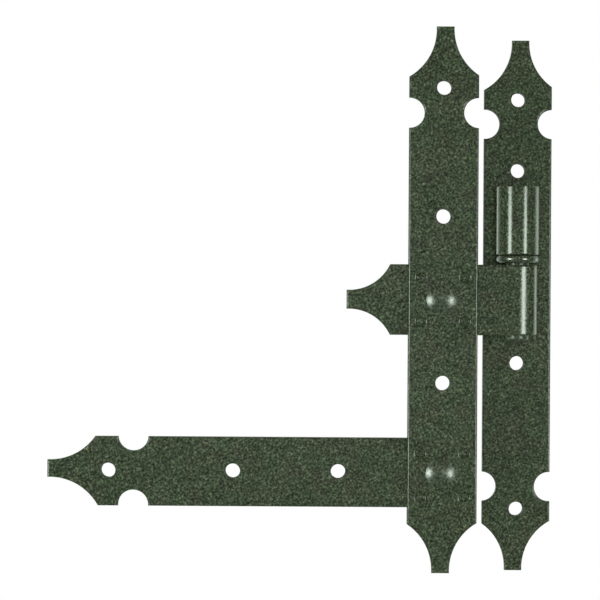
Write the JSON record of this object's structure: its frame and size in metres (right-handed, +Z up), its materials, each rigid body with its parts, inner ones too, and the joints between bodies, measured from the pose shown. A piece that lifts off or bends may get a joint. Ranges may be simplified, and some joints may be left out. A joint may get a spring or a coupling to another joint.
{
  "type": "angle strap hinge",
  "caption": "Ornamental angle strap hinge for a shutter: an upright strap riveted across two level straps, turning on a pin held by a long frame plate.",
  "frame": {"origin": "middle of the frame plate's flat back face, which lies on the frame or wall", "axes": "+X to the right seen from the front, +Y into the wall, +Z up along the pin; the leaf is closed and reaches to the left"},
  "size_m": [0.2626, 0.0317, 0.2833],
  "materials": {
    "coated_steel": "fine textured dark grey-green coat, semi-gloss"
  },
  "bodies": {
    "frame": {"frame_plate": "coated_steel", "fixed_knuckle": "coated_steel", "hinge_pin": "coated_steel", "bearing_ring": "coated_steel"},
    "leaf": {"vertical_strap": "coated_steel", "hinge_band": "coated_steel", "lower_band": "coated_steel", "rivet_upper": "coated_steel", "rivet_lower": "coated_steel"}
  },
  "joints": [
    {"name": "leaf_swing", "type": "hinge", "parent": "frame", "child": "leaf", "pos_m": [-0.0015, -0.0151, 0.0027], "axis": [0, 0, 1], "range_deg": [-50, 180]}
  ]
}
